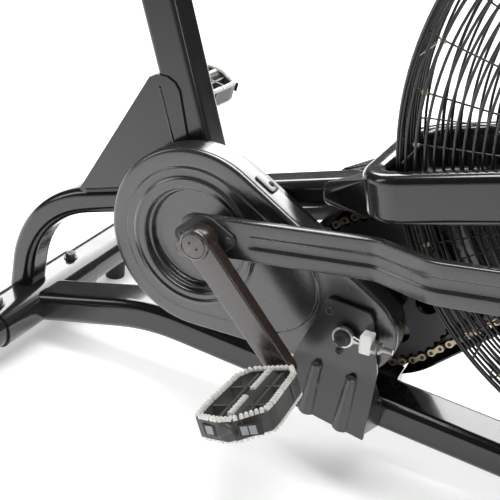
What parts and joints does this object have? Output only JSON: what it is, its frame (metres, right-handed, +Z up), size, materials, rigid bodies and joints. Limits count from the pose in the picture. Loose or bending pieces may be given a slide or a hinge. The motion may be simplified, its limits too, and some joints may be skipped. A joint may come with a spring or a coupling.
{
  "type": "air bike",
  "caption": "Air bike: a fan in a wire cage driven by pedals through chains, with swinging push-pull handles, an adjustable saddle and a console.",
  "frame": {"origin": "on the floor under the middle of the machine's bounding box", "axes": "+X towards the fan (front), +Y to the rider's left, +Z up"},
  "size_m": [1.246, 0.544, 1.2781],
  "materials": {
    "frame_black": "gloss powder coat",
    "tube_black": "semi-gloss powder coat",
    "shell_charcoal": "satin powder coat",
    "bracket_charcoal": "satin powder coat",
    "rod_charcoal": "semi-gloss powder coat",
    "crank_metal": "dark satin plate",
    "zinc": "bright zinc plate",
    "post_steel": "satin chrome",
    "shaft_steel": "ground steel",
    "chain_gold": "gold-coloured chain plates",
    "sprocket_black": "black oxide",
    "blade_grey": "satin",
    "wire_black": "gloss powder coat",
    "cap_plastic": "fine grain",
    "pedal_plastic": "moulded, with pale treads",
    "white_plastic": "moulded",
    "foot_rubber": "moulded",
    "grip_rubber": "ribbed foam",
    "seat_cover": "stitched vinyl",
    "console_plastic": "moulded with a dark screen",
    "button_plastic": "moulded",
    "wheel_plastic": "moulded"
  },
  "bodies": {
    "frame": {"main_tube": "frame_black", "seat_tube": "frame_black", "seat_gusset": "frame_black", "base_beam": "frame_black", "crank_post": "frame_black", "rear_sleeve": "frame_black", "rear_stabiliser": "tube_black", "rubber_feet": "foot_rubber", "front_stabiliser": "tube_black", "end_caps": "cap_plastic", "fasteners": "zinc", "fan_loop": "frame_black", "loop_cheeks": "frame_black", "front_mast": "frame_black", "lever_brackets": "frame_black", "bracket_right": "bracket_charcoal", "bracket_left": "frame_black", "cover_right": "shell_charcoal", "cover_right_inner": "tube_black", "cover_left": "frame_black", "tensioner_block": "white_plastic", "tensioner_bolt": "zinc", "jackshaft_axle": "zinc", "bottom_bracket": "shaft_steel", "chain_first": "chain_gold", "chain_second": "chain_gold", "cage_rim": "wire_black", "cage_right": "wire_black", "cage_left": "wire_black", "fan_axle": "zinc", "console": "console_plastic"},
    "crank": {"crank_spindle": "shaft_steel", "chainring": "sprocket_black", "crank_arms": "crank_metal", "crank_caps": "crank_metal", "pedal_axles": "shaft_steel"},
    "pedal_right": {"pedal_right": "pedal_plastic"},
    "pedal_left": {"pedal_left": "pedal_plastic"},
    "rod_right": {"rod_right": "rod_charcoal", "rod_bearing_right": "cap_plastic"},
    "rod_left": {"rod_left": "rod_charcoal", "rod_bearing_left": "cap_plastic"},
    "jackshaft": {"jackshaft_hub": "shaft_steel", "big_sprocket": "sprocket_black"},
    "fan": {"fan_hub": "shaft_steel", "fan_blades": "blade_grey"},
    "lever_right": {"lever_right": "tube_black", "grip_right": "grip_rubber"},
    "lever_left": {"lever_left": "tube_black", "grip_left": "grip_rubber"},
    "seat_post": {"seat_post": "post_steel"},
    "saddle": {"seat_slide": "tube_black", "saddle": "seat_cover"},
    "seat_pin": {"seat_pin": "cap_plastic"},
    "seat_knob": {"seat_knob": "cap_plastic"},
    "button_reset": {"button_reset": "button_plastic"},
    "button_mode": {"button_mode": "button_plastic"},
    "button_start": {"button_start": "button_plastic"},
    "wheel_right": {"wheel_right": "wheel_plastic"},
    "wheel_left": {"wheel_left": "wheel_plastic"}
  },
  "joints": [
    {"name": "crank_spin", "type": "hinge", "parent": "frame", "child": "crank", "pos_m": [-0.2826, 0, 0.242], "axis": [0, 1, 0], "continuous": true},
    {"name": "pedal_right_spin", "type": "hinge", "parent": "crank", "child": "pedal_right", "pos_m": [-0.14176, -0.187, 0.15603], "axis": [0, 1, 0], "continuous": true},
    {"name": "pedal_left_spin", "type": "hinge", "parent": "crank", "child": "pedal_left", "pos_m": [-0.42344, 0.187, 0.32797], "axis": [0, 1, 0], "continuous": true},
    {"name": "rod_right_turn", "type": "hinge", "parent": "crank", "child": "rod_right", "pos_m": [-0.24879, -0.098, 0.27245], "axis": [0, 1, 0], "continuous": true},
    {"name": "rod_left_turn", "type": "hinge", "parent": "crank", "child": "rod_left", "pos_m": [-0.31641, 0.098, 0.21155], "axis": [0, 1, 0], "continuous": true},
    {"name": "jackshaft_spin", "type": "hinge", "parent": "frame", "child": "jackshaft", "pos_m": [-0.0926, 0, 0.192], "axis": [0, 1, 0], "continuous": true},
    {"name": "fan_spin", "type": "hinge", "parent": "frame", "child": "fan", "pos_m": [0.2354, -0.02, 0.432], "axis": [0, 1, 0], "continuous": true},
    {"name": "lever_right_swing", "type": "hinge", "parent": "frame", "child": "lever_right", "pos_m": [0.2224, -0.117, 0.517], "axis": [0, 1, 0], "range_deg": [-2, 31.7]},
    {"name": "lever_left_swing", "type": "hinge", "parent": "frame", "child": "lever_left", "pos_m": [0.2224, 0.117, 0.517], "axis": [0, 1, 0], "range_deg": [-31.7, 2]},
    {"name": "seat_height", "type": "slide", "parent": "frame", "child": "seat_post", "axis": [-0.3173, 0, 0.9483], "range_m": [-0.15, 0.05]},
    {"name": "seat_reach", "type": "slide", "parent": "seat_post", "child": "saddle", "axis": [1, 0, 0], "range_m": [-0.04, 0.04]},
    {"name": "height_pin", "type": "slide", "parent": "frame", "child": "seat_pin", "axis": [0.9483, 0, 0.3173], "range_m": [-0.008, 0]},
    {"name": "reach_knob", "type": "hinge", "parent": "saddle", "child": "seat_knob", "pos_m": [-0.45532, -0.045, 0.83], "axis": [0, 1, 0], "range_deg": [-180, 180]},
    {"name": "press_reset", "type": "slide", "parent": "frame", "child": "button_reset", "axis": [0.8192, 0, -0.5736], "range_m": [0, 0.0015], "stiffness_N_per_m": 600},
    {"name": "press_mode", "type": "slide", "parent": "frame", "child": "button_mode", "axis": [0.8192, 0, -0.5736], "range_m": [0, 0.0015], "stiffness_N_per_m": 600},
    {"name": "press_start", "type": "slide", "parent": "frame", "child": "button_start", "axis": [0.8192, 0, -0.5736], "range_m": [0, 0.0015], "stiffness_N_per_m": 600},
    {"name": "wheel_right_roll", "type": "hinge", "parent": "frame", "child": "wheel_right", "pos_m": [0.5124, -0.165, 0.032], "axis": [0, 1, 0], "continuous": true},
    {"name": "wheel_left_roll", "type": "hinge", "parent": "frame", "child": "wheel_left", "pos_m": [0.5124, 0.165, 0.032], "axis": [0, 1, 0], "continuous": true}
  ],
  "couplings": [
    {"joint": "rod_right_turn", "follows": "crank_spin", "ratio": -1},
    {"joint": "rod_left_turn", "follows": "crank_spin", "ratio": -1},
    {"joint": "jackshaft_spin", "follows": "crank_spin", "ratio": 2.9333},
    {"joint": "fan_spin", "follows": "crank_spin", "ratio": 8.8},
    {"joint": "lever_left_swing", "follows": "lever_right_swing", "ratio": -1}
  ]
}
